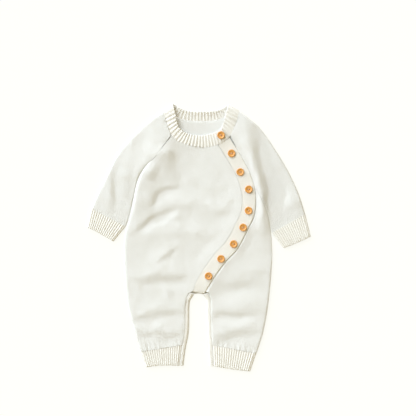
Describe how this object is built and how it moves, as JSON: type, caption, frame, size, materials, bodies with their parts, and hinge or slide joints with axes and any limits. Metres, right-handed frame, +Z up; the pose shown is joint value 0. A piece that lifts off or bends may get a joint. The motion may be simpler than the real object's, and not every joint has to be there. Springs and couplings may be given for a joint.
{
  "type": "baby romper",
  "caption": "Long-sleeved knitted baby romper laid flat, with a curved buttoned wrap front, raglan sleeves, ribbed crew collar and ribbed cuffs at wrists and ankles.",
  "frame": {"origin": "middle of the box round the laid romper, on the surface that it lies on", "axes": "+Z up off the surface, +Y to the neck, +X to the wearer's left sleeve"},
  "size_m": [0.448, 0.536, 0.0138],
  "materials": {
    "cloth": "matt off-white fine plain knit",
    "rib": "matt off-white rib knit",
    "wood": "satin honey-coloured wood"
  },
  "bodies": {
    "root": {"back": "cloth", "front_over": "cloth", "front_under": "cloth", "sleeve_right": "cloth", "sleeve_left": "cloth", "sleeve_cuff_right": "rib", "sleeve_cuff_left": "rib", "leg_cuff_right": "rib", "leg_cuff_left": "rib", "leg_strip_right": "rib", "leg_strip_left": "rib", "collar": "rib", "button_band": "rib", "button_1": "wood", "button_2": "wood", "button_3": "wood", "button_4": "wood", "button_5": "wood", "button_6": "wood", "button_7": "wood", "button_8": "wood", "button_9": "wood"}
  },
  "joints": []
}
